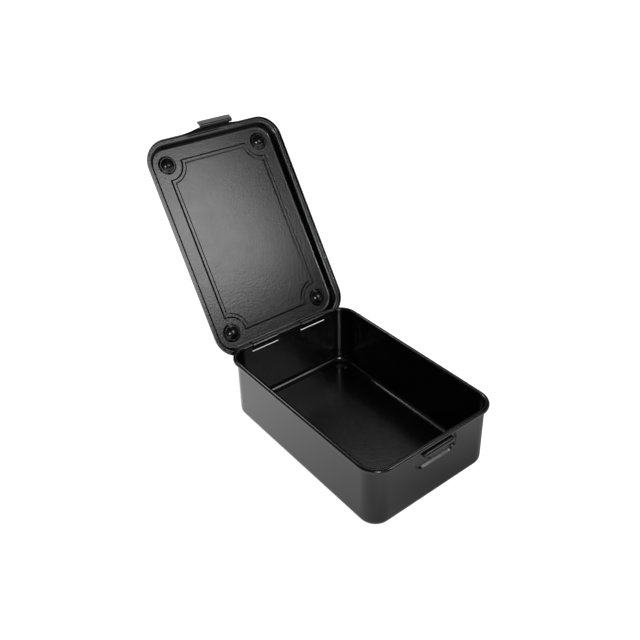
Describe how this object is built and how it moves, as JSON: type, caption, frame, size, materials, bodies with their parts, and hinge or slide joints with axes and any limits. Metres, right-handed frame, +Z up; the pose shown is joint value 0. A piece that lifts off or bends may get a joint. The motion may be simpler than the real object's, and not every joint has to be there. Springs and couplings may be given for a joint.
{
  "type": "metal toolbox",
  "caption": "Small pressed-steel trunk box with a rolled rim, a hook-hinged dished lid and a sprung latch tongue over a catch bar.",
  "frame": {"origin": "middle of the tray's footprint at the level of the feet", "axes": "+X across the width, +Y along the length towards the hinge, +Z up; the latch and catch face -Y"},
  "size_m": [0.1036, 0.2318, 0.1754],
  "materials": {
    "tray_enamel": "satin black baked enamel",
    "lid_enamel": "satin black baked enamel",
    "tongue_enamel": "satin black baked enamel"
  },
  "bodies": {
    "tray_body": {"body_tray": "tray_enamel"},
    "lid_body": {"lid": "lid_enamel"},
    "tongue_body": {"latch_tongue": "tongue_enamel"}
  },
  "joints": [
    {"name": "lid_hinge", "type": "hinge", "parent": "tray_body", "child": "lid_body", "pos_m": [0, 0.07215, 0.04435], "axis": [1, 0, 0], "range_deg": [0, 123.3]},
    {"name": "tongue_flex", "type": "hinge", "parent": "lid_body", "child": "tongue_body", "pos_m": [0, 0.15323, 0.16733], "axis": [1, 0, 0], "range_deg": [-10, 8], "stiffness_Nm_per_rad": 3}
  ]
}
